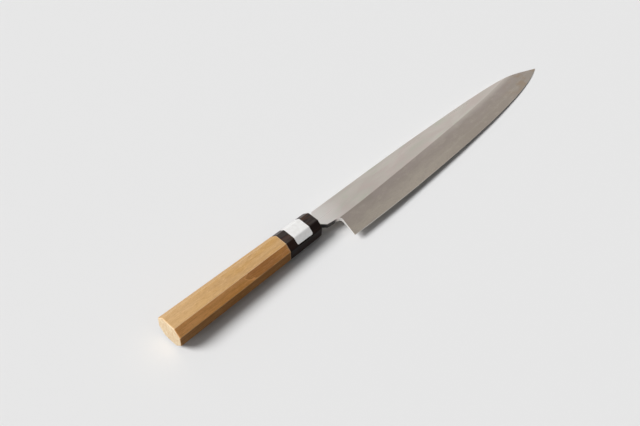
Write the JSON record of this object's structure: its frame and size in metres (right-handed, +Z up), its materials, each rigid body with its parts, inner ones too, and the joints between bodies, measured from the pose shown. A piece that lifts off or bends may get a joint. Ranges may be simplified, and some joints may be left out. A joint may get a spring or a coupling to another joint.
{
  "type": "yanagiba slicing knife",
  "caption": "Long single-bevel slicing knife: laminated steel blade with a hollow back, dark horn ferrule and pale eight-sided wooden handle, lying bevel side up.",
  "frame": {"origin": "on the table, under the middle of the knife's bounding box", "axes": "+X towards the point, +Y towards the spine, +Z up out of the bevelled side; the knife lies as it rests, on the ferrule's lower front edge and the point, so its own axis dips 1.5 degrees towards the point"},
  "size_m": [0.4268, 0.042, 0.0234],
  "materials": {
    "soft_iron": "fine lengthwise polish on the flat, hazy grey on the bevel",
    "edge_steel": "fine stone polish",
    "horn": "polished dark buffalo horn",
    "magnolia_wood": "sanded, unvarnished, fine straight grain",
    "foil": "bare satin silver foil label"
  },
  "bodies": {
    "root": {"blade_cladding": "soft_iron", "blade_steel": "edge_steel", "ferrule": "horn", "handle": "magnolia_wood", "label": "foil"}
  },
  "joints": []
}
